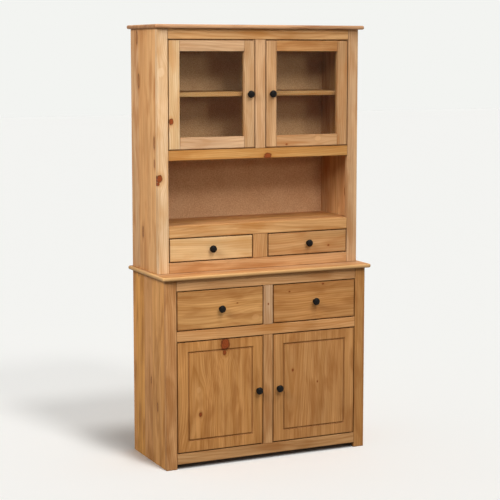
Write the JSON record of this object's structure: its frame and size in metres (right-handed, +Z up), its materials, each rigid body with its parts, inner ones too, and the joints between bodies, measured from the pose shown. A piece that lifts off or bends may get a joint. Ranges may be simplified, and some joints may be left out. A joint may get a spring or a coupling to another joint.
{
  "type": "highboard sideboard",
  "caption": "Two-part pine sideboard: a base with drawers over panelled doors, and a shallower hutch with small drawers, an open niche and glazed doors.",
  "frame": {"origin": "on the floor under the middle of the bounding box", "axes": "+Z up, +X to the right seen from the front, +Y to the back; the doors and drawers face -Y"},
  "size_m": [0.9, 0.3752, 1.7],
  "materials": {
    "pine_pale": "waxed pine, pale",
    "pine_golden": "waxed pine, golden",
    "pine_tan": "waxed pine, tan",
    "pine_brown": "waxed pine, brown",
    "pine_edge": "waxed pine, darkened, rounded edges",
    "pine_bare": "planed pine, unfinished",
    "hardboard": "brown hardboard, matt",
    "black_lacquer": "black satin lacquer",
    "zinc_steel": "zinc-plated pressed steel",
    "clear_glass": "clear float glass"
  },
  "bodies": {
    "root": {"base_side_left": "pine_tan", "base_side_right": "pine_tan", "base_stile_left": "pine_tan", "base_stile_right": "pine_tan", "base_top_rail": "pine_tan", "base_middle_rail": "pine_tan", "base_bottom_rail": "pine_tan", "base_drawer_mullion": "pine_tan", "base_door_mullion": "pine_tan", "base_top_board": "pine_edge", "base_floor": "pine_bare", "base_shelf": "pine_bare", "base_back_panel": "hardboard", "base_runner_frame": "pine_bare", "base_hinge_arm_left_lower": "zinc_steel", "base_hinge_arm_left_upper": "zinc_steel", "base_hinge_arm_right_lower": "zinc_steel", "base_hinge_arm_right_upper": "zinc_steel", "hutch_side_left": "pine_tan", "hutch_side_right": "pine_tan", "hutch_stile_left": "pine_pale", "hutch_stile_right": "pine_golden", "hutch_top_rail": "pine_golden", "hutch_middle_rail": "pine_golden", "hutch_niche_rail": "pine_golden", "hutch_bottom_rail": "pine_golden", "hutch_door_mullion": "pine_golden", "hutch_drawer_mullion": "pine_golden", "hutch_cornice": "pine_edge", "hutch_niche_shelf": "pine_tan", "hutch_case_floor": "pine_tan", "hutch_display_shelf": "pine_tan", "hutch_back_panel": "hardboard", "hutch_runner_frame": "pine_bare", "hutch_hinge_arm_left_lower": "zinc_steel", "hutch_hinge_arm_left_upper": "zinc_steel", "hutch_hinge_arm_right_lower": "zinc_steel", "hutch_hinge_arm_right_upper": "zinc_steel"},
    "base_door_left": {"base_door_left_board": "pine_brown", "base_door_left_knob": "black_lacquer"},
    "base_door_right": {"base_door_right_board": "pine_brown", "base_door_right_knob": "black_lacquer"},
    "hutch_door_left": {"hutch_door_left_frame": "pine_tan", "hutch_door_left_pane": "clear_glass", "hutch_door_left_knob": "black_lacquer"},
    "hutch_door_right": {"hutch_door_right_frame": "pine_tan", "hutch_door_right_pane": "clear_glass", "hutch_door_right_knob": "black_lacquer"},
    "base_drawer_left": {"base_drawer_left_front": "pine_brown", "base_drawer_left_box": "pine_bare", "base_drawer_left_knob": "black_lacquer"},
    "base_drawer_right": {"base_drawer_right_front": "pine_brown", "base_drawer_right_box": "pine_bare", "base_drawer_right_knob": "black_lacquer"},
    "hutch_drawer_left": {"hutch_drawer_left_front": "pine_tan", "hutch_drawer_left_box": "pine_bare", "hutch_drawer_left_knob": "black_lacquer"},
    "hutch_drawer_right": {"hutch_drawer_right_front": "pine_tan", "hutch_drawer_right_box": "pine_bare", "hutch_drawer_right_knob": "black_lacquer"}
  },
  "joints": [
    {"name": "base_door_left_hinge", "type": "hinge", "parent": "root", "child": "base_door_left", "pos_m": [-0.385, -0.16235, 0.279], "axis": [0, 0, -1], "range_deg": [0, 110]},
    {"name": "base_door_right_hinge", "type": "hinge", "parent": "root", "child": "base_door_right", "pos_m": [0.385, -0.16235, 0.279], "axis": [0, 0, 1], "range_deg": [0, 110]},
    {"name": "hutch_door_left_hinge", "type": "hinge", "parent": "root", "child": "hutch_door_left", "pos_m": [-0.385, -0.09035, 1.4345], "axis": [0, 0, -1], "range_deg": [0, 110]},
    {"name": "hutch_door_right_hinge", "type": "hinge", "parent": "root", "child": "hutch_door_right", "pos_m": [0.385, -0.09035, 1.4345], "axis": [0, 0, 1], "range_deg": [0, 110]},
    {"name": "base_drawer_left_slide", "type": "slide", "parent": "root", "child": "base_drawer_left", "axis": [0, -1, 0], "range_m": [0, 0.24]},
    {"name": "base_drawer_right_slide", "type": "slide", "parent": "root", "child": "base_drawer_right", "axis": [0, -1, 0], "range_m": [0, 0.24]},
    {"name": "hutch_drawer_left_slide", "type": "slide", "parent": "root", "child": "hutch_drawer_left", "axis": [0, -1, 0], "range_m": [0, 0.18]},
    {"name": "hutch_drawer_right_slide", "type": "slide", "parent": "root", "child": "hutch_drawer_right", "axis": [0, -1, 0], "range_m": [0, 0.18]}
  ]
}
